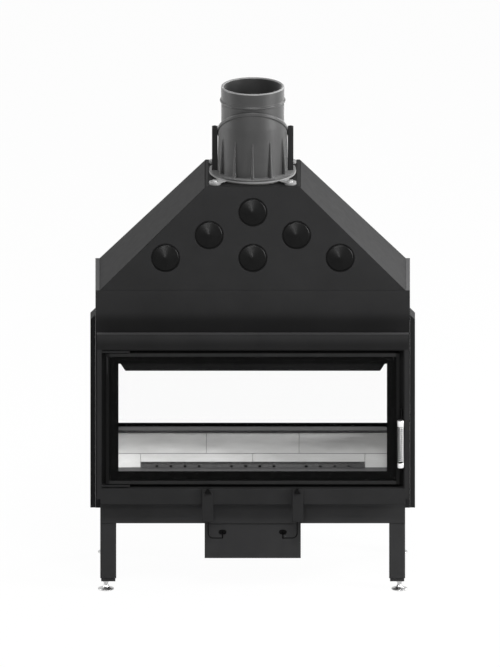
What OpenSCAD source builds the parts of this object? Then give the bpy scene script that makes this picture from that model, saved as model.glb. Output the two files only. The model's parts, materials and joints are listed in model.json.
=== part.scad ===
// See-through hearth insert with a glazed door on both faces, a sloping hood,
// a cast flue collar and four levelling feet. Millimetres, +Z up, front towards -Y.
// The origin is on the floor, under the middle of the body.

/* [Door] */
// Width of a door leaf
door_w = 1100; // [900:1:1200]
// Height of a door leaf
door_h = 510; // [440:1:600]
// Thickness of a door leaf
door_t = 25; // [24:1:34]
// Gap between the leaf and the facade opening, at each side
gap_side = 18; // [16:0.5:24]
// Gap between the leaf and the facade opening, above and below
gap_level = 16.4; // [15:0.2:22]
// How far the leaf lies behind the facade's face
door_recess = 7; // [4:0.5:8]
// Visible edge of the leaf's steel frame at the sides
rim_side = 13; // [10:0.5:16]
// Visible edge of the leaf's steel frame above and below
rim_level = 13; // [10:0.5:16]
// Width of the glass's dark border at the sides
border_side = 34.4; // [28:0.2:50]
// Width of the glass's dark border above
border_top = 28.5; // [24:0.5:50]
// Width of the glass's dark border below
border_foot = 36; // [28:0.5:50]
// Thickness of the glass
glass_t = 4; // [3:0.5:6]

/* [Facade] */
// Width of the facade's upright rails
facade_side = 16; // [10:1:30]
// Height of the facade's level rails
facade_rail = 60.5; // [40:0.5:90]
// Depth of the facade's folded edge
facade_fold = 26; // [15:1:40]
// Distance from the middle plane to the facade's face
facade_y = 335; // [325:1:370]

/* [Casing and hood] */
// Thickness of the casing, hood and facade sheet
sheet = 3; // [2:0.5:4]
// Depth of the casing
casing_d = 430; // [420:1:440]
// How far the casing is wider than the facade, at each side
casing_margin = 5; // [0:1:20]
// Underside of the casing above the floor
casing_z = 308; // [300:1:340]
// Lower edge of the facade above the casing's underside
facade_lift = 48; // [46:1:70]
// Shoulder of the hood above the facade's upper edge
shoulder_rise = 136.2; // [100:0.1:200]
// Width of the shoulder beside the hood
shoulder_w = 16; // [8:1:30]
// Height of the hood
hood_h = 394; // [380:1:430]
// Width of the hood's flat top
hood_top_w = 354; // [346:1:400]
// Depth of the hood's flat top
hood_top_d = 366; // [350:1:400]
// Distance between neighbouring outlet caps, sideways
cap_pitch_x = 163.5; // [150:0.5:175]
// Distance between neighbouring rows of outlet caps
cap_pitch_z = 87; // [80:0.5:90]
// Radius of an outlet cap
cap_r = 50; // [40:0.5:52]

/* [Flue collar] */
// Outer radius of the flue spigot
spigot_r = 118.5; // [112:0.5:119]
// Wall of the flue spigot
spigot_wall = 9.5; // [5:0.5:10]
// Top of the spigot above the hood
spigot_top = 342; // [335:1:370]
// Distance from the spigot's top to its bead
bead_drop = 55; // [45:1:60]
// Outer radius of the cast dome at its foot
dome_r = 132; // [130:0.5:136]
// Number of ribs round the cast dome
rib_count = 12; // [8:2:16]
// Height of the ribs
rib_h = 137; // [100:1:145]

/* [Base] */
// Underside of the base frame above the floor
base_z = 265; // [230:1:270]
// Distance from the middle plane to the base frame's face
base_y = 275; // [270:1:290]
// Width and depth of a leg
leg_w = 60; // [56:1:70]
// Lower end of a leg's outer tube above the floor
leg_z = 49; // [46:1:80]
// Radius of a levelling foot
foot_r = 30; // [24:0.5:34]
// Height of the air box below the base frame
air_box_h = 138; // [134:1:150]
// Width of the air box
air_box_w = 360; // [345:1:380]

/* [Firebox] */
// Thickness of the fireclay slabs
slab_t = 30; // [25:1:34]
// Thickness of the firebox plate
plate = 5; // [4:0.5:6]
// How far the hearth is narrower than a door leaf, at each side
hearth_in = 45; // [43:0.5:47]
// Height of the hearth floor's outer edges above the door leaf's lower edge
hearth_lift = 32; // [28:0.5:34]
// How far the hearth floor dips in the middle
hearth_dip = 8.6; // [4:0.2:12]

/* [Handle] */
// Length of a handle grip with its end caps
grip_l = 188; // [150:1:220]
// Outer radius of the coiled grip
grip_r = 13.8; // [13:0.1:15]
// Radius of the coiled wire
wire_r = 3.2; // [2.8:0.05:3.3]
// Number of turns of the coiled wire
coil_turns = 17; // [12:1:17]

/* [Hidden] */
$fn = 64;

// Shared clearances and overruns
over = 1;
clear = 0.3;
fit = 0.05;

// Heights
facade_z = casing_z + facade_lift;
open_w = door_w + 2 * gap_side;
open_h = door_h + 2 * gap_level;
open_z = facade_z + facade_rail;
facade_w = open_w + 2 * facade_side;
facade_h = open_h + 2 * facade_rail;
door_z = open_z + gap_level;
casing_w = facade_w + 2 * casing_margin;
shoulder_z = facade_z + facade_h + shoulder_rise;
casing_h = shoulder_z - casing_z;
hood_base_w = casing_w - 2 * shoulder_w;
hood_z = shoulder_z + hood_h;

// Depths, measured from the middle plane
door_y = facade_y - door_recess;
door_back = door_y - door_t;
seal_t = 2.7;
seat_y = door_back - seal_t - clear;
seat_t = 4;

// Door surround, the short tunnel between the casing and the facade
surround_t = 3;
surround_in_w = open_w - 2 * surround_t;
surround_in_h = open_h - 2 * surround_t;

// Firebox
hearth_w = door_w - 2 * hearth_in;
hearth_z = door_z + hearth_lift;
shell_in_w = hearth_w + 2 * (slab_t + clear);
seat_top_drop = 18;
shell_floor_z = hearth_z - hearth_dip - slab_t;
shell_roof_z = door_z + door_h - seat_top_drop;
shell_in_h = shell_roof_z - shell_floor_z;
seat_open_top = 24;
riser_r = 120;
riser_wall = 3;

// Hinge of a door leaf
hinge_in = 6.25;
hinge_y = 13;
pin_r = 4;
hinge_x = -door_w / 2 + hinge_in;
hinge_plate_l = 106;
hinge_plate_t = 6;
hinge_air = 3.5;

// Latch and grip
latch_span = 236;
grip_rise = 169;
grip_mid_z = door_z + grip_rise;
latch_mid_z = grip_mid_z;
strike_in = 30;
strike_places = [latch_mid_z - latch_span / 2 + strike_in, latch_mid_z + latch_span / 2 - strike_in];

color_steel = [0.17, 0.17, 0.17];
color_dark = [0.08, 0.08, 0.08];
color_cast = [0.42, 0.42, 0.42];
color_clay = [0.80, 0.79, 0.76];
color_zinc = [0.78, 0.78, 0.80];

// A box centred in x, from y0 to y1 and z0 to z1
module bar(w, y0, y1, z0, z1) {
    translate([-w / 2, y0, z0]) cube([w, y1 - y0, z1 - z0]);
}

// A level frame of one thickness, standing on edge, with a rectangular opening
module frame_plate(w, h, open_w, open_h, t) {
    difference() {
        translate([-w / 2, 0, -h / 2]) cube([w, t, h]);
        translate([-open_w / 2, -over, -open_h / 2]) cube([open_w, t + 2 * over, open_h]);
    }
}

// A flat link between two points, round at both ends
module link_shape(from, to, r_from, r_to) {
    run = to - from;
    translate(from) rotate(atan2(run.y, run.x)) {
        circle(r = r_from, $fn = 32);
        translate([norm(run), 0]) circle(r = r_to, $fn = 32);
        waist = 0.85;
        polygon([[0, -r_from * waist], [norm(run), -r_to * waist], [norm(run), r_to * waist], [0, r_from * waist]]);
    }
}

// The same piece on the other face of the object
module other_face() {
    rotate([0, 0, 180]) children();
}

// Casing: sheets that carry the hood, with a window in the front and rear ones
casing_port_w = 200;
casing_port_d = 120;
casing_in_d = casing_d - 2 * sheet - 2 * fit;
module casing_front() {
    shell_out_w = shell_in_w + 2 * plate + 2 * clear;
    color(color_steel) difference() {
        bar(casing_w, -casing_d / 2, -casing_d / 2 + sheet, casing_z, shoulder_z);
        bar(shell_out_w, -casing_d, 0, shell_floor_z - plate - clear, shell_roof_z + plate + clear);
    }
}

module casing_sides() {
    color(color_steel) for (side = [-1, 1]) {
        translate([side * (casing_w - sheet) / 2, 0, 0])
            bar(sheet, -casing_in_d / 2, casing_in_d / 2, casing_z, shoulder_z);
        translate([side * (casing_w - shoulder_w) / 2, 0, 0])
            bar(shoulder_w, -casing_in_d / 2, casing_in_d / 2, shoulder_z - sheet, shoulder_z);
    }
}

module casing_floor() {
    w = casing_w - 2 * sheet - 2 * fit;
    color(color_steel) difference() {
        bar(w, -casing_in_d / 2, casing_in_d / 2, casing_z, casing_z + sheet);
        bar(casing_port_w, -casing_port_d / 2, casing_port_d / 2, casing_z - over, casing_z + sheet + over);
    }
}

// Hood: leaning front and rear sheets, slopes between them and a flat top
hood_lean = atan((casing_d - hood_top_d) / 2 / hood_h);
hood_face_h = hood_h / cos(hood_lean);
hood_slope_run = (hood_base_w - hood_top_w) / 2;
hood_slope_l = norm([hood_slope_run, hood_h]);
hood_slope_angle = atan(hood_h / hood_slope_run);
hood_face_t = sheet / cos(hood_lean) + clear / 2;
hood_wall_drop = sheet;
cap_hole_r = cap_r + 4.4;
cap_rows = [[0, 0], [0, 2], [-1, 1], [1, 1], [-2, 0], [2, 0]];
cap_low_rise = 124;
bolt_r = 5;
ear_ring_r = 200;
top_strip_w = 12.5;
top_strip_t = 1.5;

// Lays flat local shapes on the leaning front of the hood, facing out
module on_hood_plane() {
    translate([0, -casing_d / 2, shoulder_z]) rotate([90 - hood_lean, 0, 0]) children();
}

// Places one thing on that face by column and row
module on_hood_face(column, row) {
    rise = (cap_low_rise + row * cap_pitch_z) / cos(hood_lean);
    on_hood_plane() translate([column * cap_pitch_x, rise, 0]) children();
}

// Repeats one thing at the four ears of the collar
module at_ears() {
    for (turn = [45 : 90 : 315]) rotate([0, 0, turn]) translate([ear_ring_r, 0, 0]) children();
}

module hood_front() {
    foot = fit + sheet * tan(hood_lean);
    color(color_steel) difference() {
        on_hood_plane() translate([0, 0, -sheet]) linear_extrude(sheet) polygon([
            [-hood_base_w / 2, foot], [hood_base_w / 2, foot], [hood_top_w / 2, hood_face_h], [-hood_top_w / 2, hood_face_h]
        ]);
        for (place = cap_rows) on_hood_face(place.x, place.y) cylinder(r = cap_hole_r, h = 4 * sheet, center = true);
    }
}

module hood_slope() {
    low = casing_d / 2 - hood_face_t;
    high = hood_top_d / 2 - hood_face_t;
    in = sheet + 2 * fit;
    color(color_steel) translate([hood_base_w / 2, 0, shoulder_z]) rotate([0, hood_slope_angle - 180, 0])
        translate([0, 0, fit]) linear_extrude(sheet) polygon([
            [fit, -low + clear], [hood_slope_l - in, -high - clear * 0.5], [hood_slope_l - in, high + clear * 0.5],
            [fit, low - clear]
        ]);
}

module hood_top() {
    half_d = hood_top_d / 2 - hood_face_t;
    color(color_steel) difference() {
        union() {
            bar(hood_top_w - 2 * fit, -half_d, half_d, hood_z - sheet, hood_z);
            for (side = [-1, 1]) translate([side * (hood_top_w - top_strip_w) / 2, 0, 0])
                bar(top_strip_w, -half_d, half_d, hood_z - over, hood_z + top_strip_t);
        }
        translate([0, 0, hood_z - 2 * sheet]) cylinder(r = riser_r + clear, h = 4 * sheet);
        translate([0, 0, hood_z - 2 * sheet]) at_ears() cylinder(r = bolt_r + clear, h = 4 * sheet);
    }
}

// Outlet caps: shallow drawn cones whose lip lies behind the hood's sheet
cap_rise = 12;
cap_lip = 6;
cap_wall = 2;
cap_skirt = 1.5;
cap_nose_r = 7;
cap_nose_drop = 0.8;
module outlet_cap() {
    lip_z = -sheet - clear - cap_wall;
    nose_z = cap_rise - cap_nose_drop;
    rotate_extrude() polygon([
        [0, cap_rise - cap_wall], [cap_nose_r, nose_z - cap_wall], [cap_r - 3 * cap_skirt, cap_skirt - cap_wall],
        [cap_r - cap_wall, -cap_skirt - cap_wall], [cap_r - cap_wall, lip_z],
        [cap_hole_r + cap_lip, lip_z], [cap_hole_r + cap_lip, lip_z + cap_wall], [cap_r, lip_z + cap_wall],
        [cap_r, -cap_skirt], [cap_r - cap_skirt / 2, 0], [cap_r - 2 * cap_skirt, cap_skirt],
        [cap_nose_r, nose_z], [cap_nose_r / 2, cap_rise - cap_nose_drop / 4], [0, cap_rise]
    ]);
}

module outlet_caps() {
    color(color_steel) for (place = cap_rows) on_hood_face(place.x, place.y) outlet_cap();
}

// Side duct: shallow air channel on the casing's side, with a sloping top
duct_t = 19;
duct_w = 92;
duct_foot_drop = 49;
duct_top_drop = 144;
module side_duct() {
    z0 = casing_z - duct_foot_drop;
    z1 = shoulder_z - duct_top_drop;
    color(color_dark) difference() {
        translate([casing_w / 2, duct_w / 2, 0]) rotate([90, 0, 0]) linear_extrude(duct_w)
            polygon([[clear / 2, z0], [duct_t, z0], [duct_t, z1 - duct_t], [clear / 2, z1]]);
        translate([casing_w / 2, duct_w / 2 - sheet, 0]) rotate([90, 0, 0]) linear_extrude(duct_w - 2 * sheet)
            polygon([
                [-over, z0 - over], [duct_t - sheet, z0 - over],
                [duct_t - sheet, z1 - duct_t - sheet], [-over, z1 - 2 * sheet]
            ]);
    }
}

// Flue riser: tube from the firebox roof up through the hood's top
module flue_riser() {
    z0 = shell_roof_z + plate;
    color(color_dark) translate([0, 0, z0]) difference() {
        cylinder(r = riser_r, h = hood_z - z0);
        translate([0, 0, -over]) cylinder(r = riser_r - riser_wall, h = hood_z - z0 + 2 * over);
    }
}

// Collar: gasket, cast dome with ribs and ears, spigot, tie bars and bolts
gasket_t = 6;
gasket_w = 34;
module collar_gasket() {
    color([0.6, 0.6, 0.58]) translate([0, 0, hood_z]) difference() {
        cylinder(r = riser_r + gasket_w, h = gasket_t);
        translate([0, 0, -over]) cylinder(r = riser_r, h = gasket_t + 2 * over);
    }
}

flange_r = 162;
flange_t = 12;
flange_z = hood_z + gasket_t;
flange_top = flange_z + flange_t;
ear_r = 22;
ear_step = 9.5;
dome_top_r = 128;
dome_crown_r = 121.2;
spigot_step = 0.6;
dome_in_r = spigot_r - spigot_step + clear / 2;
dome_shoulder_h = 202;
dome_crown_h = 290;
cut_h = 173.5;
dome_shoulder_z = hood_z + dome_shoulder_h;
dome_crown_z = hood_z + dome_crown_h;
cut_z = hood_z + cut_h;
cut_angle = 38.6;
cut_lip = 11;
cut_lip_out = 3;
rib_r = 6.5;
rib_tip_r = 0.8;
rib_out = 7;

// Everything below the dome's sloping cut, moved along the cut's normal
module below_cut(offset_along) {
    reach = 4 * dome_r;
    translate([0, 0, cut_z]) rotate([-cut_angle, 0, 0]) translate([-reach / 2, -reach / 2, offset_along - reach])
        cube([reach, reach, reach]);
}

module dome_outline(grow) {
    rotate_extrude($fn = 96) polygon([
        [0, flange_z], [dome_r + grow, flange_z], [dome_top_r + grow, dome_shoulder_z],
        [(dome_top_r + dome_crown_r) / 2 + grow, (dome_shoulder_z + dome_crown_z) / 2 + gasket_t],
        [dome_crown_r + grow, dome_crown_z], [0, dome_crown_z]
    ]);
}

// A slender cone that leans on the dome's wall
module dome_rib() {
    foot_x = dome_r + rib_out;
    tip_x = dome_r - 1.5 * rib_tip_r;
    lean = atan((foot_x - tip_x) / rib_h);
    translate([foot_x, 0, flange_top - over]) rotate([0, -lean, 0])
        cylinder(r1 = rib_r, r2 = rib_tip_r, h = (rib_h + over) / cos(lean), $fn = 24);
}

module collar_dome() {
    color(color_cast) difference() {
        union() {
            intersection() {
                dome_outline(0);
                below_cut(0);
            }
            intersection() {
                dome_outline(cut_lip_out);
                difference() {
                    below_cut(0);
                    below_cut(-cut_lip);
                }
            }
            translate([0, 0, flange_z]) cylinder(r = flange_r, h = flange_t, $fn = 96);
            at_ears() translate([0, 0, hood_z]) cylinder(r = ear_r, h = ear_step, $fn = 48);
            for (turn = [45 : 90 : 315]) rotate([0, 0, turn]) translate([flange_r - ear_r, -ear_r, flange_z])
                cube([ear_ring_r - flange_r + ear_r, 2 * ear_r, hood_z + ear_step - flange_z]);
            for (i = [0 : rib_count - 1]) if (abs(cos(i * 360 / rib_count)) < 0.99)
                rotate([0, 0, i * 360 / rib_count]) dome_rib();
        }
        translate([0, 0, hood_z - over]) cylinder(r = dome_in_r, h = dome_crown_z, $fn = 96);
        at_ears() translate([0, 0, hood_z - over]) cylinder(r = bolt_r + clear, h = flange_t + gasket_t + 2 * over);
    }
}

bead_r = 4.8;
spigot_foot_rise = 20;
module flue_spigot() {
    z0 = flange_z + spigot_foot_rise;
    z1 = hood_z + spigot_top;
    bead_z = z1 - bead_drop;
    edge_r = 3;
    color(color_cast) rotate_extrude($fn = 96) polygon(concat(
        [[spigot_r - spigot_wall, z0], [spigot_r - spigot_step, z0], [spigot_r - spigot_step, bead_z - bead_r]],
        [for (turn = [-60 : 30 : 60]) [spigot_r + bead_r * cos(turn), bead_z + bead_r * sin(turn)]],
        [[spigot_r, bead_z + bead_r], [spigot_r, z1 - edge_r], [spigot_r - edge_r, z1]],
        [[spigot_r - spigot_wall + edge_r, z1], [spigot_r - spigot_wall, z1 - edge_r]]
    ));
}

tie_in = 124;
tie_out = 152.5;
tie_t = 36;
tie_h = 163;
tie_bolt_r = 6;
tie_bolt_h = 5;
module tie_bars() {
    color(color_steel) for (side = [-1, 1]) {
        difference() {
            translate([side * (tie_in + tie_out) / 2, 0, 0]) bar(tie_out - tie_in, -tie_t / 2, tie_t / 2, flange_top + fit, flange_top + tie_h);
            translate([0, 0, flange_top - over]) cylinder(r = dome_r + clear, h = tie_h + 2 * over, $fn = 96);
        }
        translate([side * (dome_r + tie_out) / 2, 0, flange_top + tie_h]) cylinder(r = tie_bolt_r, h = tie_bolt_h, $fn = 24);
    }
}

bolt_head_r = 8;
bolt_head_h = 6.5;
module collar_bolts() {
    color(color_zinc) at_ears() {
        translate([0, 0, hood_z + ear_step]) cylinder(r = bolt_head_r + 3 * over, h = 2 * over, $fn = 32);
        translate([0, 0, hood_z + ear_step + 2 * over]) cylinder(r = bolt_head_r, h = bolt_head_h, $fn = 6);
        translate([0, 0, hood_z - hood_wall_drop - bolt_head_h])
            cylinder(r = bolt_r, h = ear_step + hood_wall_drop + bolt_head_h + over, $fn = 32);
        translate([0, 0, hood_z - hood_wall_drop - bolt_head_h]) cylinder(r = bolt_head_r, h = bolt_head_h, $fn = 6);
    }
}

// Facade: folded frame round the door, with its lower corners notched
corner_w = 14;
corner_h = 20;
module facade() {
    mid_z = facade_z + facade_h / 2;
    color(color_steel) difference() {
        translate([0, -facade_y, mid_z]) frame_plate(facade_w, facade_h, open_w, open_h, facade_fold);
        translate([0, -facade_y + sheet, mid_z]) frame_plate(facade_w - 2 * sheet, facade_h - 2 * sheet,
            open_w - over, open_h - over, facade_fold);
        for (side = [-1, 1]) translate([side * (facade_w / 2 - corner_w / 2 + over), 0, 0])
            bar(corner_w + 2 * over, -facade_y - over, -facade_y + facade_fold + over, facade_z - over, facade_z + corner_h);
    }
}

// Door surround: tunnel that carries the facade and the hinge plates
module hinge_plates() {
    for (z = [door_z + door_h + hinge_air, door_z - hinge_air - hinge_plate_t]) difference() {
        translate([-surround_in_w / 2 - over, -facade_y + sheet + over, z])
            cube([hinge_plate_l, facade_y - door_back - sheet - over, hinge_plate_t]);
        translate([hinge_x, -door_y + hinge_y, z - over]) cylinder(r = pin_r + fit, h = hinge_plate_t + 2 * over, $fn = 32);
    }
}

strike_t = 1.6;
strike_h = 24;
strike_d = 14;
module door_surround() {
    mid_z = open_z + open_h / 2;
    color(color_steel) {
        translate([0, -facade_y + sheet, mid_z]) frame_plate(open_w, open_h, surround_in_w, surround_in_h,
            facade_y - sheet - casing_d / 2);
        hinge_plates();
        for (z = strike_places) translate([surround_in_w / 2 - strike_t, -door_back - strike_d + seal_t, z - strike_h / 2])
            cube([strike_t + over, strike_d, strike_h]);
    }
}

// Firebox shell: welded tunnel with a flue hole in its roof
module firebox_shell() {
    shell_out_w = shell_in_w + 2 * plate;
    end_y = seat_y - seat_t - fit;
    color(color_dark) difference() {
        bar(shell_out_w, -end_y, end_y, shell_floor_z - plate, shell_roof_z + plate);
        bar(shell_in_w, -seat_y, seat_y, shell_floor_z, shell_roof_z);
        translate([0, 0, shell_roof_z - over]) cylinder(r = riser_r - riser_wall, h = plate + 2 * over);
    }
}

// Door seats: flat frames welded to the tunnel's ends
module door_seats() {
    seat_w = surround_in_w - 2 * clear;
    seat_h = surround_in_h - 2 * clear;
    seat_mid_z = open_z + open_h / 2;
    seat_z1 = shell_roof_z - seat_open_top + plate;
    color(color_dark) for (face = [0, 180]) rotate([0, 0, face]) difference() {
        bar(seat_w, -seat_y, -seat_y + seat_t, seat_mid_z - seat_h / 2, seat_mid_z + seat_h / 2);
        bar(hearth_w, -seat_y - over, -seat_y + seat_t + over, hearth_z, seat_z1);
    }
}

// Fireclay lining: side panels and two rows of floor slabs that slope to the middle
lining_y = seat_y - seat_t - clear;
slab_gap = 1.2;
floor_y = 245;
joints_rear = [-hearth_w / 2, -hearth_w * 0.172, hearth_w * 0.172, hearth_w / 2];
joints_front = [-hearth_w / 2, -hearth_w * 0.416, 0, hearth_w * 0.416, hearth_w / 2];
baffle_t = 25;
baffle_d = 330;
baffle_z = shell_roof_z - 56;
rest_w = 18;

module side_lining() {
    height = shell_roof_z - shell_floor_z - 2 * clear;
    color(color_clay) difference() {
        translate([hearth_w / 2, -lining_y, shell_floor_z + clear / 2]) cube([slab_t, 2 * lining_y, height]);
        translate([hearth_w / 2 - over, -baffle_d / 2 - clear, baffle_z - clear])
            cube([rest_w + over, baffle_d + 2 * clear, baffle_t + 2 * clear]);
    }
}

// One floor slab of the front row, from x0 to x1
module floor_slab(x0, x1) {
    z0 = shell_floor_z + fit;
    dip = hearth_dip * slab_gap / 2 / floor_y;
    translate([x0 + slab_gap / 2, 0, 0]) rotate([90, 0, 90]) linear_extrude(x1 - x0 - slab_gap) polygon([
        [-floor_y + clear, z0], [-slab_gap / 2, z0], [-slab_gap / 2, hearth_z - hearth_dip + dip],
        [-floor_y + clear, hearth_z]
    ]);
}

module floor_slabs(joints) {
    color(color_clay) for (i = [0 : len(joints) - 2]) floor_slab(joints[i], joints[i + 1]);
}

// Sill: bent steel strip between the hearth floor and the door seat
sill_rise = 9.7;
module sill() {
    z1 = hearth_z + sill_rise;
    color([0.45, 0.45, 0.45]) {
        bar(hearth_w - 2 * clear, -lining_y, -floor_y, z1 - sheet, z1);
        bar(hearth_w - 2 * clear, -floor_y - sheet, -floor_y, shell_floor_z + fit, z1);
        bar(hearth_w - 2 * clear, -lining_y, -lining_y + sheet, shell_floor_z + fit, z1);
    }
}

// Log retainer: folded strip on the floor's front edge, in three drilled lengths
retain_w = 840;
retain_d = 36;
retain_rise = 21;
retain_lengths = 3;
retain_holes = 4;
retain_hole_r = 5.5;
retain_hole_pitch = 53;
retain_slot = 2;
module log_retainer() {
    y0 = -floor_y + clear;
    z1 = hearth_z + retain_rise;
    pitch = retain_w / retain_lengths;
    color([0.3, 0.3, 0.3]) for (i = [0 : retain_lengths - 1]) translate([(i - (retain_lengths - 1) / 2) * pitch, 0, 0]) {
        len = pitch - retain_slot;
        difference() {
            bar(len, y0, y0 + sheet, hearth_z + clear, z1);
            for (k = [0 : retain_holes - 1])
                translate([(k - (retain_holes - 1) / 2) * retain_hole_pitch, y0 - over, z1 - retain_hole_r - 2 * over])
                    rotate([-90, 0, 0]) cylinder(r = retain_hole_r, h = sheet + 2 * over, $fn = 24);
        }
        bar(len, y0, y0 + retain_d, z1 - sheet, z1);
        bar(len, y0 + retain_d - sheet, y0 + retain_d, hearth_z, z1);
    }
}

module smoke_baffle() {
    w = hearth_w + 2 * (rest_w - clear);
    color(color_clay) bar(w, -baffle_d / 2, baffle_d / 2, baffle_z, baffle_z + baffle_t);
}

// Air wash rail: bent plate that hangs from the firebox roof behind the glass
rail_flare = 20;
rail_margin = 8;
rail_w = hearth_w - 2 * (rail_flare + rail_margin);
rail_drop = 61;
rail_back = 8;
rail_lip = 14;
module air_wash_rail() {
    y = -seat_y + seat_t + rail_back;
    z1 = shell_roof_z;
    z0 = shell_roof_z - rail_drop;
    color(color_dark) {
        translate([0, y + sheet, 0]) rotate([90, 0, 0]) linear_extrude(sheet) polygon([
            [-rail_w / 2, z0], [rail_w / 2, z0], [rail_w / 2 + rail_flare, z0 + rail_drop / 2],
            [rail_w / 2 + rail_flare, z1], [-rail_w / 2 - rail_flare, z1], [-rail_w / 2 - rail_flare, z0 + rail_drop / 2]
        ]);
        bar(rail_w, y, y + rail_lip, z0, z0 + sheet);
        bar(rail_w, y, y + rail_lip, z1 - sheet, z1);
    }
}

// Door leaf: steel frame with hinge pins and latch ears, glass, retainer and rope seal
glass_w = door_w - 2 * rim_side;
glass_h = door_h - 2 * rim_level;
clear_w = glass_w - 2 * border_side;
clear_h = glass_h - border_top - border_foot;
clear_up = (border_foot - border_top) / 2;
glass_set = 2;
glass_back = door_y - glass_set - glass_t;
retainer_t = 2;
leaf_mid_z = door_z + door_h / 2;
seal_w = 12;
seal_in = 13;
seal_groove = 2;
lip_share = 0.45;
ear_t = 8;
latch_ear_r = 6.4;
latch_out = 7;
latch_in = 10;
latch_x = door_w / 2 + latch_out;
latch_y = -door_y + latch_in;
latch_r = 4;

module door_frame() {
    lip_w = clear_w + 2 * border_side * lip_share;
    lip_h = glass_h - 2 * border_top * lip_share;
    color(color_dark) {
        difference() {
            translate([0, -door_y, leaf_mid_z]) frame_plate(door_w, door_h, lip_w, lip_h, door_t);
            bar(glass_w + 2 * clear, -door_y - over, -glass_back + retainer_t + clear,
                leaf_mid_z - glass_h / 2 - clear, leaf_mid_z + glass_h / 2 + clear);
            translate([0, -door_back - seal_groove, leaf_mid_z]) frame_plate(
                door_w - 2 * seal_in + clear, door_h - 2 * seal_in + clear,
                door_w - 2 * seal_in - 2 * seal_w - clear, door_h - 2 * seal_in - 2 * seal_w - clear, seal_groove + over);
        }
        for (z = [door_z + door_h - over, door_z - hinge_air - hinge_plate_t + clear])
            translate([hinge_x, -door_y + hinge_y, z])
                cylinder(r = pin_r, h = hinge_air + hinge_plate_t + over - clear, $fn = 32);
        for (end = [-1, 1]) translate([0, 0, latch_mid_z + end * latch_span / 2 - ear_t / 2])
            linear_extrude(ear_t) difference() {
                link_shape([door_w / 2 - latch_ear_r / 2, latch_y], [latch_x, latch_y], latch_ear_r, latch_ear_r);
                translate([latch_x, latch_y]) circle(r = latch_r + fit, $fn = 32);
            }
    }
}

module door_glass() {
    color([0.8, 0.85, 0.82, 0.4])
        bar(glass_w, -glass_back - glass_t, -glass_back, leaf_mid_z - glass_h / 2, leaf_mid_z + glass_h / 2);
}

// Retainer: thin frame that backs the glass's dark border
module glass_retainer() {
    color(color_dark) difference() {
        bar(glass_w, -glass_back + fit, -glass_back + retainer_t, leaf_mid_z - glass_h / 2, leaf_mid_z + glass_h / 2);
        bar(clear_w, -glass_back - over, -glass_back + 2 * retainer_t,
            leaf_mid_z + clear_up - clear_h / 2, leaf_mid_z + clear_up + clear_h / 2);
    }
}

module door_seal() {
    color([0.25, 0.25, 0.25]) translate([0, -door_back - seal_groove + fit, leaf_mid_z])
        frame_plate(door_w - 2 * seal_in, door_h - 2 * seal_in, door_w - 2 * seal_in - 2 * seal_w,
            door_h - 2 * seal_in - 2 * seal_w, seal_groove + seal_t - fit);
}

// Latch lever: upright shaft with two cams and two arms that carry the grip
grip_out = 3.5;
grip_reach = 31;
grip_x = door_w / 2 + grip_out;
grip_y = -facade_y - grip_reach;
arm_t = 5;
arm_r = 7.5;
cam_t = 6;
cam_r = 2.5;
cam_in = 2;
cam_l = 11;
cap_top_l = 24;
cap_foot_l = 18;
arm_in = 7;
latch_turn = 20;
core_r = 6;
grip_z0 = grip_mid_z - grip_l / 2;
grip_z1 = grip_mid_z + grip_l / 2;
arm_places = [grip_z0 + arm_in, grip_z1 - arm_in - arm_t];
module latch_lever() {
    span = latch_span + ear_t + 2 * over;
    pivot = [latch_x, latch_y];
    grip = [grip_x, grip_y];
    color(color_steel) {
        translate([latch_x, latch_y, latch_mid_z - span / 2]) cylinder(r = latch_r, h = span, $fn = 32);
        for (z = strike_places) translate([0, 0, z - cam_t / 2]) linear_extrude(cam_t)
            link_shape(pivot, pivot + [-cam_in, cam_l], latch_r + over, cam_r);
        for (z = arm_places) translate([0, 0, z]) linear_extrude(arm_t) difference() {
            link_shape(pivot, grip, latch_r + over, arm_r);
            translate(pivot) rotate(latch_turn) translate([-latch_out - arm_r, -latch_in - 2 * clear])
                square([arm_r + 2 * clear, 2 * latch_in]);
            translate(grip) circle(r = core_r + fit, $fn = 32);
        }
    }
}

// Grip core: through rod with turned end caps on both sides of each arm
module cap_disc(z0, z1) {
    rim = 1.5;
    rotate_extrude($fn = 48) polygon([[0, z0], [grip_r - rim, z0], [grip_r, z0 + rim], [grip_r, z1 - rim],
        [grip_r - rim, z1], [0, z1]]);
}

module grip_core() {
    color(color_zinc) translate([grip_x, grip_y, 0]) {
        translate([0, 0, grip_z0 + over]) cylinder(r = core_r, h = grip_l - 2 * over, $fn = 32);
        cap_disc(grip_z0, arm_places[0] - clear);
        cap_disc(arm_places[0] + arm_t + clear, grip_z0 + cap_foot_l);
        cap_disc(grip_z1 - cap_top_l, arm_places[1] - clear);
        cap_disc(arm_places[1] + arm_t + clear, grip_z1);
    }
}

// Coiled wire: one unbroken tube, swept ring by ring, its ends straight and square to the caps
coil_rings = 8;
coil_sides = 6;
coil_z0 = grip_z0 + cap_foot_l + fit;
coil_z1 = grip_z1 - cap_top_l - fit;
coil_l = coil_z1 - coil_z0 - 4 * wire_r;
coil_pitch = coil_l / coil_turns;
coil_mid_r = grip_r - wire_r;
coil_last = coil_rings * coil_turns;
coil_path = concat(
    [[coil_mid_r, 0, coil_z0]],
    [for (i = [0 : coil_last]) let (turn = 360 * i / coil_rings)
        [coil_mid_r * cos(turn), coil_mid_r * sin(turn), coil_z0 + 2 * wire_r + coil_pitch * i / coil_rings]],
    [[coil_mid_r, 0, coil_z1]]
);
coil_n = len(coil_path);
function coil_turn(i) = 360 * (min(max(i, 1), coil_n - 2) - 1) / coil_rings;
function coil_way(i) = let (d = coil_path[min(i + 1, coil_n - 1)] - coil_path[max(i - 1, 0)]) d / norm(d);
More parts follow.
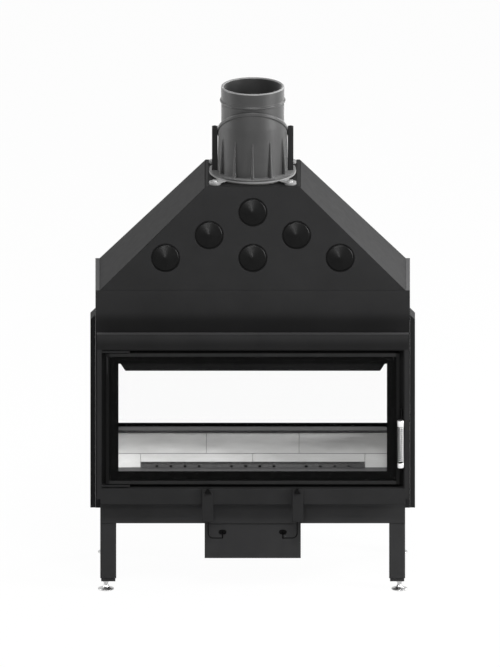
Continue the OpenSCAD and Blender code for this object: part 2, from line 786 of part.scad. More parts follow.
function coil_ring(i) = let (out = [cos(coil_turn(i)), sin(coil_turn(i)), 0], side = cross(coil_way(i), out)) [
    for (k = [0 : coil_sides - 1]) let (a = 360 * k / coil_sides)
        coil_path[i] + wire_r * (cos(a) * out + sin(a) * side)
];
coil_gap = min([for (i = [1 : coil_last - coil_rings + 1], k = [-1 : 1])
    let (j = min(i + coil_rings + k, coil_n - 2)) norm(coil_path[j] - coil_path[i])]) - 2 * wire_r;
echo(coil_gap = coil_gap);

module grip_coil() {
    n = coil_sides;
    color(color_zinc) translate([grip_x, grip_y, 0]) polyhedron(
        points = [for (i = [0 : coil_n - 1]) each coil_ring(i)],
        faces = concat(
            [for (k = [1 : n - 2]) [0, k, k + 1]],
            [for (k = [1 : n - 2]) [(coil_n - 1) * n, (coil_n - 1) * n + k + 1, (coil_n - 1) * n + k]],
            [for (i = [0 : coil_n - 2], k = [0 : n - 1]) each [
                [i * n + k, (i + 1) * n + k, (i + 1) * n + (k + 1) % n],
                [i * n + k, (i + 1) * n + (k + 1) % n, i * n + (k + 1) % n]
            ]]
        )
    );
}

// Base: front and rear panels before the legs, side rails between them
leg_inset = 18;
base_overlap = 32;
leg_x = casing_w / 2 - leg_inset - leg_w / 2;
leg_y = base_y - sheet - leg_w / 2;
leg_top = casing_z - clear;
base_top = casing_z + base_overlap;
base_lip = 38;
base_shelf = 25;
module base_front() {
    outer = 2 * leg_x + leg_w;
    inner = 2 * leg_x - leg_w - 2 * clear;
    lip_len = (inner - air_box_w) / 2 - clear;
    lip_x = air_box_w / 2 + clear + lip_len / 2;
    color(color_steel) {
        bar(outer, -base_y, -base_y + sheet, base_z, base_top);
        bar(outer, -base_y, -casing_d / 2 - clear, base_top - sheet, base_top);
        for (side = [-1, 1]) translate([side * lip_x, 0, 0])
            bar(lip_len, -base_y, -base_y + base_lip, base_z, base_z + sheet);
    }
}

module base_sides() {
    side_y = leg_y - leg_w / 2 - clear;
    outer = leg_x + leg_w / 2;
    color(color_steel) for (face = [0, 180]) rotate([0, 0, face]) {
        translate([outer - sheet, -side_y, base_z]) cube([sheet, 2 * side_y, leg_top - base_z]);
        translate([outer - base_shelf, -side_y, leg_top - sheet]) cube([base_shelf, 2 * side_y, sheet]);
        translate([outer - base_shelf, -side_y, base_z]) cube([base_shelf, 2 * side_y, sheet]);
    }
}

leg_round = 6;
leg_wall = 3;
module rounded_square(w, r) {
    square([w, w - 2 * r], center = true);
    square([w - 2 * r, w], center = true);
    for (sx = [-1, 1], sy = [-1, 1]) translate([sx * (w / 2 - r), sy * (w / 2 - r)]) circle(r = r, $fn = 32);
}

module leg(x, y) {
    color(color_steel) translate([x, y, leg_z]) linear_extrude(leg_top - leg_z) difference() {
        rounded_square(leg_w, leg_round);
        rounded_square(leg_w - 2 * leg_wall, leg_round - leg_wall);
    }
}

// Leg inserts: telescopic square tubes with a floor that takes the foot's stem
inset_w = leg_w - 2 * leg_wall - 2 * clear;
inset_z = 36.4;
inset_h = 150;
inset_floor = 8;
stem_r = 8;
stem_fit = 0.3;
foot_shift_x = 8.5;
foot_shift_y = 3;
module leg_inserts() {
    r = leg_round - leg_wall - fit;
    color(color_dark) for (sx = [-1, 1], sy = [-1, 1]) translate([sx * leg_x, sy * leg_y, inset_z]) difference() {
        linear_extrude(inset_h) rounded_square(inset_w, r);
        translate([0, 0, inset_floor]) linear_extrude(inset_h) square(inset_w - 2 * leg_wall, center = true);
        translate([sx * foot_shift_x, sy * foot_shift_y, -over]) cylinder(r = stem_r + stem_fit, h = inset_floor + 2 * over, $fn = 32);
    }
}

foot_pad = 4;
foot_cone = 13;
stem_up = 60;
nut_r = 11;
module foot(x, y) {
    side_x = x < 0 ? -1 : 1;
    side_y = y < 0 ? -1 : 1;
    nut_top = inset_z - clear;
    color(color_zinc) translate([x + side_x * foot_shift_x, y + side_y * foot_shift_y, 0]) {
        rotate_extrude($fn = 48) polygon([
            [0, 0], [foot_r - over, 0], [foot_r, over], [foot_r, foot_pad - over], [foot_r - over, foot_pad],
            [0.6 * foot_r, foot_pad + 0.2 * foot_cone], [0.4 * foot_r, foot_pad + 0.5 * foot_cone],
            [stem_r + over, foot_pad + foot_cone], [stem_r, foot_pad + foot_cone + over], [stem_r, inset_z + stem_up],
            [0, inset_z + stem_up]
        ]);
        translate([0, 0, nut_top - nut_h]) cylinder(r = nut_r, h = nut_h, $fn = 6);
    }
}
nut_h = 8;

// Air box: folded box under the casing with two slots in front and a round inlet behind
air_box_in = 7;
air_box_d = 2 * (base_y - air_box_in);
air_neck_w = 200;
air_neck_d = 120;
inlet_r = 62.5;
inlet_l = 50;
slot_w = 29;
slot_h = 19;
slot_x = 113;
slot_drop = 37;
module slot_shape() {
    for (end = [-1, 1]) translate([end * (slot_w - slot_h) / 2, 0]) circle(d = slot_h, $fn = 32);
    square([slot_w - slot_h, slot_h], center = true);
}

air_inlet_z = base_z - air_box_h / 2;
module air_box() {
    z0 = base_z - air_box_h;
    color(color_steel) difference() {
        bar(air_box_w, -air_box_d / 2, air_box_d / 2, z0, leg_top);
        bar(air_box_w - 2 * sheet, -air_box_d / 2 + sheet, air_box_d / 2 - sheet, z0 + sheet, leg_top - sheet);
        bar(air_neck_w, -air_neck_d / 2, air_neck_d / 2, leg_top - 2 * sheet, leg_top + over);
        translate([0, air_box_d / 2 - 2 * sheet, air_inlet_z]) rotate([-90, 0, 0]) cylinder(r = inlet_r - spigot_step + fit, h = 3 * sheet);
        for (side = [-1, 1]) translate([side * slot_x, -air_box_d / 2 - over, base_z - slot_drop]) rotate([-90, 0, 0])
            linear_extrude(3 * sheet) slot_shape();
    }
}

module air_inlet() {
    color(color_steel) translate([0, air_box_d / 2 - sheet, air_inlet_z]) rotate([-90, 0, 0]) difference() {
        union() {
            cylinder(r = inlet_r - spigot_step, h = inlet_l);
            translate([0, 0, sheet + clear / 2]) cylinder(r = inlet_r, h = inlet_l - clear / 2);
        }
        translate([0, 0, -over]) cylinder(r = inlet_r - sheet, h = inlet_l + sheet + 2 * over);
    }
}

// Guides and pulls of the air controls
guide_w = 41;
guide_d = 12;
guide_x = 169;
guide_lift = 26;
guide_over = 3.5;
guide_z0 = base_z + guide_lift;
guide_z1 = open_z + guide_over;
pull_slot = 9;
pull_neck = 6;
pull_x = 167;
rod_r = 2.5;
knob_w = 24;
knob_h = 20;
knob_t = 9;
knob_drop = 13;
knob_z = open_z - knob_drop;
bend_r = 20;
rod_y = -facade_y - rod_r - 2 * over;
pull_lift = 5;
pull_z = base_z - slot_drop - slot_h / 2 + rod_r + pull_lift;
shutter_w = 40;
shutter_h = 26;
module guide(side) {
    y0 = -facade_y - guide_d;
    color(color_steel) translate([side * guide_x, 0, 0]) difference() {
        bar(guide_w, y0, -facade_y, guide_z0, guide_z1);
        bar(guide_w - 2 * sheet, y0 + sheet, -facade_y + over, guide_z0 - over, guide_z1 + over);
        translate([side * (pull_x - guide_x), 0, 0])
            bar(pull_slot, y0 - over, y0 + 2 * sheet, knob_z - over, guide_z1 + over);
    }
}

module air_pull(side) {
    y0 = -facade_y - guide_d;
    inner_y = -air_box_d / 2 + sheet + 2 * over;
    rod_top = knob_z + knob_h / 2;
    color(color_dark) mirror([side < 0 ? 1 : 0, 0, 0]) {
        translate([pull_x, rod_y, pull_z + bend_r]) cylinder(r = rod_r, h = rod_top - pull_z - bend_r, $fn = 24);
        translate([pull_x - bend_r, rod_y, pull_z + bend_r]) rotate([-90, 0, 0]) rotate_extrude(angle = 90, $fn = 64)
            translate([bend_r, 0]) circle(r = rod_r, $fn = 24);
        translate([slot_x, rod_y, pull_z]) rotate([0, 90, 0]) cylinder(r = rod_r, h = pull_x - bend_r - slot_x, $fn = 24);
        translate([slot_x, rod_y, pull_z]) sphere(r = rod_r, $fn = 24);
        translate([slot_x, rod_y, pull_z]) rotate([-90, 0, 0]) cylinder(r = rod_r, h = inner_y - rod_y, $fn = 24);
        translate([pull_x - pull_neck / 2, y0 - clear - over, knob_z + 2 * over])
            cube([pull_neck, rod_y - y0 + clear + over, knob_h / 4]);
        translate([pull_x, y0 - clear, knob_z]) rotate([90, 0, 0]) linear_extrude(knob_t)
            polygon([[-knob_w / 2, 0], [knob_w / 2, 0], [over, knob_h], [-over, knob_h]]);
        air_shutter();
    }
}

// Shutter plate on the rod's inner end
module air_shutter() {
    y = -air_box_d / 2 + sheet + 2 * over;
    color(color_dark) translate([slot_x, 0, pull_z]) bar(shutter_w, y + fit, y + sheet, -shutter_h / 2, shutter_h / 2);
}

casing_front();
other_face() casing_front();  // casing_rear
casing_sides();
casing_floor();
hood_front();
other_face() hood_front();  // hood_rear
union() { hood_slope(); other_face() hood_slope(); }  // hood_slopes
hood_top();
outlet_caps();  // outlet_caps_front
other_face() outlet_caps();  // outlet_caps_rear
other_face() side_duct();  // side_duct_left
side_duct();  // side_duct_right
flue_riser();
collar_gasket();
collar_dome();
flue_spigot();
tie_bars();
collar_bolts();
facade();  // facade_front
other_face() facade();  // facade_rear
door_surround();  // door_surround_front
other_face() door_surround();  // door_surround_rear
firebox_shell();
door_seats();
union() { side_lining(); other_face() side_lining(); }  // side_linings
floor_slabs(joints_front);  // floor_slabs_front
other_face() floor_slabs(joints_rear);  // floor_slabs_rear
union() { sill(); other_face() sill(); }  // sills
log_retainer();
smoke_baffle();
union() { air_wash_rail(); other_face() air_wash_rail(); }  // air_wash_rails
door_frame();  // door_frame_front
door_glass();  // door_glass_front
glass_retainer();  // glass_retainer_front
door_seal();  // door_seal_front
latch_lever();  // latch_lever_front
grip_core();  // grip_core_front
grip_coil();  // grip_coil_front
other_face() door_frame();  // door_frame_rear
other_face() door_glass();  // door_glass_rear
other_face() glass_retainer();  // glass_retainer_rear
other_face() door_seal();  // door_seal_rear
other_face() latch_lever();  // latch_lever_rear
other_face() grip_core();  // grip_core_rear
other_face() grip_coil();  // grip_coil_rear
base_front();
other_face() base_front();  // base_rear
base_sides();
for (sx = [-1, 1], sy = [-1, 1]) leg(sx * leg_x, sy * leg_y);  // legs
leg_inserts();
foot(-leg_x, -leg_y);  // foot_front_left
foot(leg_x, -leg_y);  // foot_front_right
foot(-leg_x, leg_y);  // foot_rear_left
foot(leg_x, leg_y);  // foot_rear_right
air_box();
air_inlet();
union() { guide(-1); guide(1); }  // guides
air_pull(-1);  // air_pull_left
air_pull(1);  // air_pull_right
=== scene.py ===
import json
import math
import bmesh
import bpy
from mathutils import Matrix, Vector


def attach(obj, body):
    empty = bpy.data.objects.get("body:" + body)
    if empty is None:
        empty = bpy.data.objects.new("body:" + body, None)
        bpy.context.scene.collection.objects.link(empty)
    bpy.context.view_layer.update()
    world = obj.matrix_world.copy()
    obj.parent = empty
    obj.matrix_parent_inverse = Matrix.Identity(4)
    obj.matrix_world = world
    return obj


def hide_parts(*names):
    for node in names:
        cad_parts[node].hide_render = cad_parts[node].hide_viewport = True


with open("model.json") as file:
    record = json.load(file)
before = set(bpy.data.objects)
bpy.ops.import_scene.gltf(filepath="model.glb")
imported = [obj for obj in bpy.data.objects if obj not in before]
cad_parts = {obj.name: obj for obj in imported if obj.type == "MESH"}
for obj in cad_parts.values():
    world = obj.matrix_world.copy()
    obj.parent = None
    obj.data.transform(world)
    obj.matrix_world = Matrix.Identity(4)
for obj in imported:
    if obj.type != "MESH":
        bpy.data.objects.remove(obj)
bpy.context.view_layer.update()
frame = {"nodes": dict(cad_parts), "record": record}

# All lengths are in metres. The rear face is the front turned by 180 degrees.
FACES = (("front", 1), ("rear", -1))

# Camera
CAMERA_TILT = math.radians(73.6)
CAMERA_SPAN = 2.498
CAMERA_AT = (-0.0101, -5.756, 2.619)
CAMERA_REACH = 200.0

# Floor and world: greys as the object is lit by them, white to the rays that are seen
FLOOR_HALF = 40.0
FLOOR_GREY = 0.80
FLOOR_SEEN_SHARE = 0.97
WORLD_Y = (-0.75, 0.25)
WORLD_LEVEL = (0.16, 0.22)

# Lamps: place, aim, width and height, power in watts
LAMPS = {
    "front": ((-1.0, -6.6, 4.0), (0.0, 0.0, 1.1), (0.9, 0.9), 110),
    "key": ((4.4, -1.8, 2.7), (0.0, 0.0, 1.0), (2.0, 3.0), 340),
    "left_side": ((-4.4, 0.4, 2.4), (0.0, 0.0, 1.2), (2.2, 3.0), 100),
    "overhead": ((0.5, -4.2, 5.4), (0.0, -0.2, 0.5), (1.2, 1.2), 230),
    "rear_right": ((4.4, 3.0, 2.6), (0.0, 0.0, 0.6), (2.2, 2.2), 200),
}

# Grip of the front door, slimmer than its solid: axis, ends, caps, wire and rod
GRIP_X = 0.5535
GRIP_Y = -0.366
GRIP_LOW = 0.5094
GRIP_HIGH = 0.6925
CAP_FOOT = 0.018
CAP_TOP = 0.024
CAP_RIM = 0.0012
GRIP_R = 0.0120
WIRE_R = 0.0019
ROD_R = 0.0078
ROD_SINK = 0.001
COIL_TURNS = 17
COIL_STEPS = 28
WIRE_SIDES = 14
LATHE_SIDES = 48

# Hinge strap on the front leaf's rim, as low and high ends
STRAP_X = (-0.5476, -0.5436)
STRAP_Y = (-0.3288, -0.3275)
STRAP_Z = (0.864, 0.930)

# Mortar line between the rows of floor slabs
HEARTH_MID_Z = 0.4563
HEARTH_HALF = 0.504
JOINT_HALF = 0.005
JOINT_SINK = 0.003
JOINT_RISE = 0.0004

# Dark blocks in the log retainer's two seams, as painted shade where the gaps would show the lit floor
# behind
SEAM_X = 0.140
SEAM_HALF = 0.003
SEAM_Y = (-0.2440, -0.2095)
SEAM_Z = (0.4655, 0.4853)

# Places where a paint or a casting changes its grey, some of them painted light: the casting's painted
# highlight on its rim and flange, and the painted shade on the facade's top rail and on the casing above
# it
RIM_UPRIGHT = 0.5365
RIM_Z = 1.8885
FLANGE_Z = 1.5628
RAIL_FOOT = 0.9593
RAIL_PAINTED_SHADE = (0.975, 1.012)
CASING_PAINTED_SHADE = (1.030, 1.078)
PAINTED_SHADE_SHARE = 0.50

# Paint: grey, roughness, shine and the radius of its rounded edges
BLACK = 0.0135
SATIN = 0.58
SHINE = 0.07
ROUND_EDGE = 0.004


# Node helpers
def material(name, shine=None):
    mat = bpy.data.materials.new(name)
    mat.use_nodes = True
    tree = mat.node_tree
    shader = tree.nodes["Principled BSDF"]
    if shine is not None:
        shader.inputs["Specular IOR Level"].default_value = shine
    return mat, tree, shader


def add(tree, kind, **values):
    made = tree.nodes.new(kind)
    for key, value in values.items():
        setattr(made, key, value)
    return made


def set_inputs(node, **values):
    for key, value in values.items():
        node.inputs[key.replace("_", " ").title()].default_value = value


def grey(level):
    return (level, level, level)


def tinted(level, tint):
    return tuple(level * c for c in tint)


def noise(tree, scale, detail=4.0, rough=0.55, stretch=None):
    texture = add(tree, "ShaderNodeTexNoise")
    set_inputs(texture, scale=scale, detail=detail, roughness=rough)
    source = add(tree, "ShaderNodeTexCoord").outputs["Object"]
    if stretch:
        mapping = add(tree, "ShaderNodeMapping")
        mapping.inputs["Scale"].default_value = stretch
        tree.links.new(source, mapping.inputs["Vector"])
        source = mapping.outputs["Vector"]
    tree.links.new(source, texture.inputs["Vector"])
    return texture.outputs["Fac"]


def ramp(tree, source, dark, light, low=0.3, high=0.7):
    made = add(tree, "ShaderNodeValToRGB")
    first, last = made.color_ramp.elements
    first.position = low
    last.position = high
    first.color = (*dark, 1.0)
    last.color = (*light, 1.0)
    tree.links.new(source, made.inputs["Fac"])
    return made.outputs["Color"]


def spread(tree, source, low, high):
    made = add(tree, "ShaderNodeMapRange")
    set_inputs(made, to_min=low, to_max=high)
    tree.links.new(source, made.inputs["Value"])
    return made.outputs["Result"]


def smooth_step(tree, source, reach, levels):
    made = add(tree, "ShaderNodeMapRange", interpolation_type="SMOOTHSTEP")
    set_inputs(made, from_min=reach[0], from_max=reach[1], to_min=levels[0], to_max=levels[1])
    tree.links.new(source, made.inputs["Value"])
    return made.outputs["Result"]


def bump(tree, shader, source, strength, distance, round_edge=0.0):
    made = add(tree, "ShaderNodeBump")
    set_inputs(made, strength=strength, distance=distance)
    tree.links.new(source, made.inputs["Height"])
    if round_edge:
        edge = add(tree, "ShaderNodeBevel", samples=6)
        edge.inputs["Radius"].default_value = round_edge
        tree.links.new(edge.outputs["Normal"], made.inputs["Normal"])
    tree.links.new(made.outputs["Normal"], shader.inputs["Normal"])


def paint_grain(tree, shader, strength, distance, round_edge):
    bump(tree, shader, noise(tree, 1400.0, 2.0), strength, distance, round_edge)


def object_axis(tree, axis):
    coords = add(tree, "ShaderNodeTexCoord")
    split = add(tree, "ShaderNodeSeparateXYZ")
    tree.links.new(coords.outputs["Object"], split.inputs[0])
    return split.outputs[axis]


def tested(tree, source, operation, limit):
    made = add(tree, "ShaderNodeMath", operation=operation)
    made.inputs[1].default_value = limit
    tree.links.new(source, made.inputs[0])
    return made.outputs[0]


def larger(tree, first, second):
    made = add(tree, "ShaderNodeMath", operation="MAXIMUM")
    tree.links.new(first, made.inputs[0])
    tree.links.new(second, made.inputs[1])
    return made.outputs[0]


def mixed(tree, share, first, second):
    mix = add(tree, "ShaderNodeMix", data_type="RGBA", clamp_factor=True)
    tree.links.new(share, mix.inputs[0])
    tree.links.new(first, mix.inputs[6])
    tree.links.new(second, mix.inputs[7])
    return mix.outputs[2]


# The second colour on faces that look up, the first on upright ones
def by_slope(tree, side, top):
    face = add(tree, "ShaderNodeNewGeometry")
    split = add(tree, "ShaderNodeSeparateXYZ")
    tree.links.new(face.outputs["True Normal"], split.inputs[0])
    return mixed(tree, split.outputs["Z"], side, top)


# Painted shade: a colour that gets darker down a stretch of height, standing in for the soft shadow on
# the facade's top rail and on the casing just above it, and is itself again below the rail's foot
def painted_shade_down(tree, colour, reach):
    height = object_axis(tree, "Z")
    rise = smooth_step(tree, height, reach, (PAINTED_SHADE_SHARE, 1.0))
    under = tested(tree, height, "LESS_THAN", RAIL_FOOT)
    scaled = add(tree, "ShaderNodeVectorMath", operation="SCALE")
    tree.links.new(colour, scaled.inputs[0])
    tree.links.new(larger(tree, rise, under), scaled.inputs["Scale"])
    return scaled.outputs["Vector"]


# Materials
def painted(name, level, rough=SATIN, shine=SHINE, edge=ROUND_EDGE, lit_top_level=None, shade_reach=None):
    mat, tree, shader = material(name, shine)
    tint = (1.0, 1.0, 1.02)
    cloud = noise(tree, 6.0, 5.0)
    colour = ramp(tree, cloud, tinted(0.90 * level, tint), tinted(1.10 * level, tint))
    # Painted shade: the colour darkens down the given stretch of height
    if shade_reach:
        colour = painted_shade_down(tree, colour, shade_reach)
    # Painted highlight: faces that look up get a lighter grey, standing in for light from above
    if lit_top_level:
        top = ramp(tree, cloud, tinted(0.94 * lit_top_level, tint), tinted(1.06 * lit_top_level, tint))
        colour = by_slope(tree, colour, top)
    tree.links.new(colour, shader.inputs["Base Color"])
    roughness = spread(tree, noise(tree, 35.0, 3.0), rough - 0.05, rough + 0.06)
    tree.links.new(roughness, shader.inputs["Roughness"])
    paint_grain(tree, shader, 0.10, 0.0004, edge)
    return mat


def metal(name, level, rough, stretch=(1.0, 1.0, 1.0), edge=0.001, spread_by=0.06):
    mat, tree, shader = material(name)
    shader.inputs["Metallic"].default_value = 1.0
    grain = noise(tree, 260.0, 3.0, stretch=stretch)
    colour = ramp(tree, grain, grey(0.88 * level), grey(min(1.0, 1.1 * level)))
    tree.links.new(colour, shader.inputs["Base Color"])
    tree.links.new(spread(tree, grain, rough - spread_by, rough + spread_by), shader.inputs["Roughness"])
    bump(tree, shader, grain, 0.08, 0.0003, edge)
    return mat


# Door frame, darker on the uprights' outer strips
def door_rim():
    mat, tree, shader = material("door_rim_paint", 0.08)
    grain = noise(tree, 35.0, 3.0)
    level = ramp(tree, grain, grey(0.010), grey(0.013))
    upright = ramp(tree, grain, grey(0.0015), grey(0.0025))
    reach = add(tree, "ShaderNodeMath", operation="ABSOLUTE")
    tree.links.new(object_axis(tree, "X"), reach.inputs[0])
    outer = tested(tree, reach.outputs[0], "GREATER_THAN", RIM_UPRIGHT)
    tree.links.new(mixed(tree, outer, level, upright), shader.inputs["Base Color"])
    tree.links.new(spread(tree, grain, 0.5, 0.6), shader.inputs["Roughness"])
    paint_grain(tree, shader, 0.10, 0.0004, 0.0015)
    return mat


def drawn_cap():
    mat, tree, shader = material("drawn_cap_paint", 0.11)
    cloud = noise(tree, 40.0, 3.0)
    tree.links.new(ramp(tree, cloud, grey(0.0015), grey(0.0025)), shader.inputs["Base Color"])
    tree.links.new(spread(tree, cloud, 0.29, 0.34), shader.inputs["Roughness"])
    paint_grain(tree, shader, 0.06, 0.0003, 0.0015)
    return mat


# Bare steel, darker on the faces that look up
def steel_dark_on_top():
    mat, tree, shader = material("steel_dark_on_top", 0.15)
    grain = noise(tree, 120.0, 4.0)
    side_grey = ramp(tree, grain, grey(0.07), grey(0.10))
    dark_top = ramp(tree, grain, grey(0.010), grey(0.016))
    tree.links.new(by_slope(tree, side_grey, dark_top), shader.inputs["Base Color"])
    tree.links.new(spread(tree, grain, 0.5, 0.7), shader.inputs["Roughness"])
    bump(tree, shader, grain, 0.15, 0.0003, 0.0008)
    return mat


# Grey casting, paler on the rim and flange as painted highlight
def cast_iron():
    mat, tree, shader = material("cast_iron_grey", 0.50)
    set_inputs(shader, sheen_weight=0.35, sheen_roughness=0.35)
    cloud = noise(tree, 12.0, 6.0, 0.6)
    skin = ramp(tree, cloud, grey(0.013), grey(0.020), high=0.75)
    # Painted highlight on the rim above RIM_Z and on the flange below FLANGE_Z
    rim_highlight = ramp(tree, cloud, grey(0.15), grey(0.20), high=0.75)
    height = object_axis(tree, "Z")
    above = tested(tree, height, "GREATER_THAN", RIM_Z)
    below = tested(tree, height, "LESS_THAN", FLANGE_Z)
    tree.links.new(mixed(tree, larger(tree, above, below), skin, rim_highlight), shader.inputs["Base Color"])
    tree.links.new(spread(tree, noise(tree, 90.0, 4.0), 0.40, 0.48), shader.inputs["Roughness"])
    bump(tree, shader, noise(tree, 420.0, 6.0, 0.65), 0.25, 0.0005, 0.005)
    return mat


def fireclay(name, level):
    mat, tree, shader = material(name)
    cloud = noise(tree, 9.0, 6.0, 0.6)
    dark = (0.91 * level, 0.91 * level, 0.90 * level)
    light = (1.09 * level, 1.09 * level, 1.08 * level)
    tree.links.new(ramp(tree, cloud, dark, light), shader.inputs["Base Color"])
    shader.inputs["Roughness"].default_value = 0.85
    bump(tree, shader, noise(tree, 500.0, 5.0, 0.7), 0.30, 0.0006, 0.003)
    return mat


def clear_glass():
    mat, tree, shader = material("ceramic_glass")
    cloud = noise(tree, 4.0, 3.0)
    colour = ramp(tree, cloud, (0.020, 0.022, 0.021), (0.030, 0.032, 0.031))
    tree.links.new(colour, shader.inputs["Base Color"])
    tree.links.new(spread(tree, noise(tree, 30.0, 2.0), 0.02, 0.05), shader.inputs["Roughness"])
    shader.inputs["Alpha"].default_value = 0.01
    mat.surface_render_method = "BLENDED"
    return mat


def woven_rope():
    mat, tree, shader = material("woven_cord")
    weave = noise(tree, 900.0, 2.0, stretch=(1.0, 3.0, 1.0))
    colour = ramp(tree, weave, grey(0.05), (0.14, 0.14, 0.13), 0.35, 0.65)
    tree.links.new(colour, shader.inputs["Base Color"])
    shader.inputs["Roughness"].default_value = 0.95
    bump(tree, shader, weave, 0.8, 0.001)
    return mat


def enamel():
    mat, tree, shader = material("black_enamel", 0.03)
    cloud = noise(tree, 25.0, 3.0)
    tree.links.new(ramp(tree, cloud, grey(0.0010), grey(0.0016)), shader.inputs["Base Color"])
    tree.links.new(spread(tree, cloud, 0.30, 0.42), shader.inputs["Roughness"])
    return mat


FINISHES = {
    "black_paint": painted("satin_black_paint", BLACK),
    "dark_steel": painted("dark_stove_paint", 0.006, 0.60, 0.08, edge=0.0015),
    "drawn_cap": drawn_cap(),
    # A lighter copy of the black paint, as painted light against the shadow under the facade, for the
    # base, legs, air box and inlet
    "base_paint": painted("base_frame_paint", 0.0215),
    # The facade and casing faces carry painted shade, darker down the facade's top rail and on the
    # casing just above the facade; the facade's top faces are lighter as painted highlight
    "facade_paint": painted("facade_paint", 0.0140, lit_top_level=0.032, shade_reach=RAIL_PAINTED_SHADE),
    "casing_face": painted("casing_face_paint", 0.0150, shade_reach=CASING_PAINTED_SHADE),
    "pull_paint": painted("control_paint", 0.0020, 0.50, 0.06, edge=0.0015),
    # Painted highlight: a lighter grey on the casing's shoulder faces that look up
    "casing_side": painted("casing_side_paint", BLACK, lit_top_level=0.085),
    "door_rim": door_rim(),
    "grip_rod": metal("dark_rod", 0.02, 0.45),
    "sill_steel": painted("dark_sheet_steel", 0.055, 0.50, 0.25, edge=0.0015),
    "cast_grey": cast_iron(),
    "zinc": metal("bright_zinc", 0.50, 0.30),
    "wound_wire": metal("wound_steel_wire", 0.50, 0.34, edge=0.0004, spread_by=0.05),
    "polished": metal("polished_steel", 0.88, 0.36, (1.0, 1.0, 8.0), 0.0006, 0.04),
    "bare_steel": steel_dark_on_top(),
    "fireclay": fireclay("pressed_fireclay", 0.58),
    "joint_mortar": fireclay("joint_mortar", 0.22),
    "rope": woven_rope(),
    "enamel": enamel(),
    "glass": clear_glass(),
}

# A node has the finish of its slot, unless its name starts with one of these
SPECIAL_FINISHES = {
    "outlet_caps": "drawn_cap",
    "base_": "base_paint",
    "leg": "base_paint",
    "air_box": "base_paint",
    "air_inlet": "base_paint",
    "air_pull": "pull_paint",
    "facade": "facade_paint",
    "casing_front": "casing_face",
    "casing_rear": "casing_face",
    "casing_sides": "casing_side",
    "door_frame": "door_rim",
}


def dress(obj, mat):
    if not obj.data.materials:
        obj.data.materials.append(mat)
    for slot in obj.material_slots:
        slot.material = mat


slot_of = {part["node"]: part["material_slot"] for part in frame["record"]["subparts"]}
for name, obj in frame["nodes"].items():
    finish = slot_of[name]
    for start, special in SPECIAL_FINISHES.items():
        if name.startswith(start):
            finish = special
    dress(obj, FINISHES[finish])


# Pieces of the scene
def placed(name, data):
    obj = bpy.data.objects.new(name, data)
    bpy.context.scene.collection.objects.link(obj)
    return obj


def worn(name, data, finish, body):
    obj = placed(name, data)
    dress(obj, FINISHES[finish])
    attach(obj, body)
    return obj


def round_points(sides):
    return [(math.cos(2 * math.pi * k / sides), math.sin(2 * math.pi * k / sides)) for k in range(sides)]


# Closed skin over a row of rings
def skin_over(name, rings):
    mesh = bmesh.new()
    loops = [[mesh.verts.new(point) for point in ring] for ring in rings]
    for a, b in zip(loops, loops[1:]):
        for k in range(len(a)):
            n = (k + 1) % len(a)
            mesh.faces.new((a[k], a[n], b[n], b[k])).smooth = True
    mesh.faces.new(loops[0])
    mesh.faces.new(loops[-1])
    bmesh.ops.recalc_face_normals(mesh, faces=mesh.faces)
    data = bpy.data.meshes.new(name)
    mesh.to_mesh(data)
    mesh.free()
    return data


def lathe(name, outline, at, finish, body):
    rings = []
    for radius, z in outline:
        rings.append([(at[0] + radius * x, at[1] + radius * y, z) for x, y in round_points(LATHE_SIDES)])
    return worn(name, skin_over(name, rings), finish, body)


def block(name, low, high, finish, body):
    corners = [(low[0], low[1]), (high[0], low[1]), (high[0], high[1]), (low[0], high[1])]
    points = [(x, y, z) for z in (low[2], high[2]) for x, y in corners]
    sides = [(0, 1, 5, 4), (1, 2, 6, 5), (2, 3, 7, 6), (3, 0, 4, 7), (3, 2, 1, 0), (4, 5, 6, 7)]
    data = bpy.data.meshes.new(name)
    data.from_pydata(points, [], sides)
    return worn(name, data, finish, body)


# Middle line of the wound wire about the grip's own axis, with a straight end up into each cap
def coil_points(low, high):
    first = low + 2 * WIRE_R
    pitch = (high - low - 4 * WIRE_R) / COIL_TURNS
    radius = GRIP_R - WIRE_R
    points = [Vector((radius, 0.0, low))]
    for i in range(COIL_TURNS * COIL_STEPS + 1):
        turn = 2 * math.pi * i / COIL_STEPS
        height = first + pitch * i / COIL_STEPS
        points.append(Vector((radius * math.cos(turn), radius * math.sin(turn), height)))
    points.append(Vector((radius, 0.0, high)))
    return points


def coil_rings(low, high, sign):
    points = coil_points(low, high)
    last = len(points) - 1
    rings = []
    for i, at in enumerate(points):
        way = (points[min(i + 1, last)] - points[max(i - 1, 0)]).normalized()
        out = Vector((at.x, at.y, 0.0)).normalized()
        side = way.cross(out).normalized()
        ring = []
        for x, y in round_points(WIRE_SIDES):
            point = at + WIRE_R * (x * out + y * side)
            ring.append((sign * (point.x + GRIP_X), sign * (point.y + GRIP_Y), point.z))
        rings.append(ring)
    return rings


# Outline of a turned cap with rounded rims
def turned_end(low, high):
    step = CAP_RIM * (1 - math.sqrt(0.5))
    return [
        (GRIP_R - CAP_RIM, low), (GRIP_R - step, low + step), (GRIP_R, low + CAP_RIM),
        (GRIP_R, high - CAP_RIM), (GRIP_R - step, high - step), (GRIP_R - CAP_RIM, high),
    ]


wound_low = GRIP_LOW + CAP_FOOT
wound_high = GRIP_HIGH - CAP_TOP
for face, sign in FACES:
    name = "coiled_grip_" + face
    data = skin_over(name, coil_rings(wound_low, wound_high, sign))
    wire = worn(name, data, "wound_wire", "latch_" + face)
    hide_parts("grip_coil_" + face)

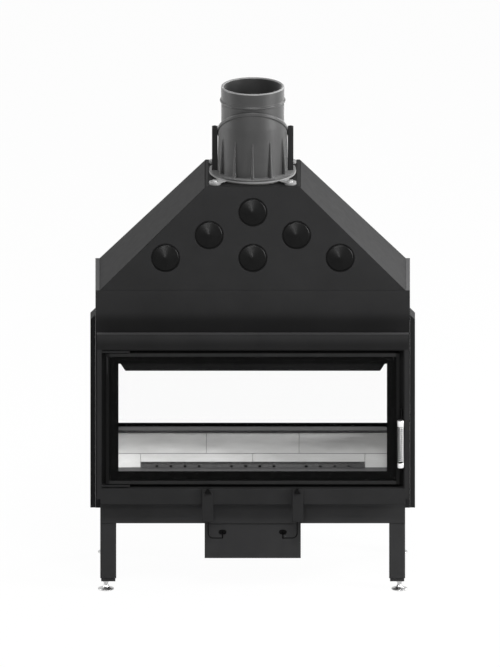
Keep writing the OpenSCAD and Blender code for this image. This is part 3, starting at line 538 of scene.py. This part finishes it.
for face, sign in FACES:
    at = (sign * GRIP_X, sign * GRIP_Y)
    body = "latch_" + face
    rod_line = [(ROD_R, wound_low - ROD_SINK), (ROD_R, wound_high + ROD_SINK)]
    rod = lathe("grip_rod_" + face, rod_line, at, "grip_rod", body)
    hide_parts("grip_core_" + face)
    lathe("grip_foot_" + face, turned_end(GRIP_LOW, wound_low), at, "polished", body)
    lathe("grip_top_" + face, turned_end(wound_high, GRIP_HIGH), at, "polished", body)

for face, sign in FACES:
    xs = sorted(sign * x for x in STRAP_X)
    ys = sorted(sign * y for y in STRAP_Y)
    low = (xs[0], ys[0], STRAP_Z[0])
    high = (xs[1], ys[1], STRAP_Z[1])
    block("hinge_strap_" + face, low, high, "black_paint", "door_" + face)

joint_low = (-HEARTH_HALF, -JOINT_HALF, HEARTH_MID_Z - JOINT_SINK)
joint_high = (HEARTH_HALF, JOINT_HALF, HEARTH_MID_Z + JOINT_RISE)
block("floor_joint", joint_low, joint_high, "joint_mortar", "fireplace_body")

# Painted shade: dark blocks fill the retainer's seams
for side, x in (("left", -SEAM_X), ("right", SEAM_X)):
    low = (x - SEAM_HALF, SEAM_Y[0], SEAM_Z[0])
    high = (x + SEAM_HALF, SEAM_Y[1], SEAM_Z[1])
    block("retainer_seam_" + side, low, high, "bare_steel", "fireplace_body")


# Studio
def seen_ray(tree):
    path = add(tree, "ShaderNodeLightPath")
    through = larger(tree, path.outputs["Is Camera Ray"], path.outputs["Is Transmission Ray"])
    return larger(tree, through, path.outputs["Is Glossy Ray"])


def plain_floor():
    h = FLOOR_HALF
    data = bpy.data.meshes.new("studio_floor")
    data.from_pydata([(-h, -h, 0), (h, -h, 0), (h, h, 0), (-h, h, 0)], [], [(0, 1, 2, 3)])
    obj = placed("studio_floor", data)
    mat = bpy.data.materials.new("pale_floor")
    mat.use_nodes = True
    tree = mat.node_tree
    tree.nodes.clear()
    plain = add(tree, "ShaderNodeBsdfDiffuse")
    plain.inputs["Color"].default_value = (*grey(FLOOR_GREY), 1)
    glow = add(tree, "ShaderNodeEmission")
    glow.inputs["Color"].default_value = (1, 1, 1, 1)
    glow.inputs["Strength"].default_value = 1.0
    mix = add(tree, "ShaderNodeMixShader")
    tree.links.new(tested(tree, seen_ray(tree), "MULTIPLY", FLOOR_SEEN_SHARE), mix.inputs[0])
    tree.links.new(plain.outputs[0], mix.inputs[1])
    tree.links.new(glow.outputs[0], mix.inputs[2])
    tree.links.new(mix.outputs[0], add(tree, "ShaderNodeOutputMaterial").inputs[0])
    obj.data.materials.append(mat)


def studio_world():
    world = bpy.data.worlds.new("studio")
    bpy.context.scene.world = world
    world.use_nodes = True
    tree = world.node_tree
    coords = add(tree, "ShaderNodeTexCoord")
    split = add(tree, "ShaderNodeSeparateXYZ")
    tree.links.new(coords.outputs["Generated"], split.inputs[0])
    level = smooth_step(tree, split.outputs["Y"], WORLD_Y, WORLD_LEVEL)
    back = tree.nodes["Background"]
    back.inputs["Color"].default_value = (1, 1, 1, 1)
    tree.links.new(larger(tree, level, seen_ray(tree)), back.inputs["Strength"])


def area_light(name, at, aim, size, power):
    light = bpy.data.lights.new(name, "AREA")
    light.shape = "RECTANGLE"
    light.size = size[0]
    light.size_y = size[1]
    light.energy = power
    obj = placed(name, light)
    obj.location = at
    obj.rotation_euler = (Vector(aim) - Vector(at)).to_track_quat("-Z", "Y").to_euler()


plain_floor()
studio_world()
for name, (at, aim, size, power) in LAMPS.items():
    area_light(name, at, aim, size, power)

camera = placed("camera", bpy.data.cameras.new("camera"))
camera.data.type = "ORTHO"
camera.data.ortho_scale = CAMERA_SPAN
camera.data.clip_end = CAMERA_REACH
camera.location = CAMERA_AT
camera.rotation_euler = (CAMERA_TILT, 0.0, 0.0)
bpy.context.scene.camera = camera
bpy.context.scene.view_settings.view_transform = "Standard"
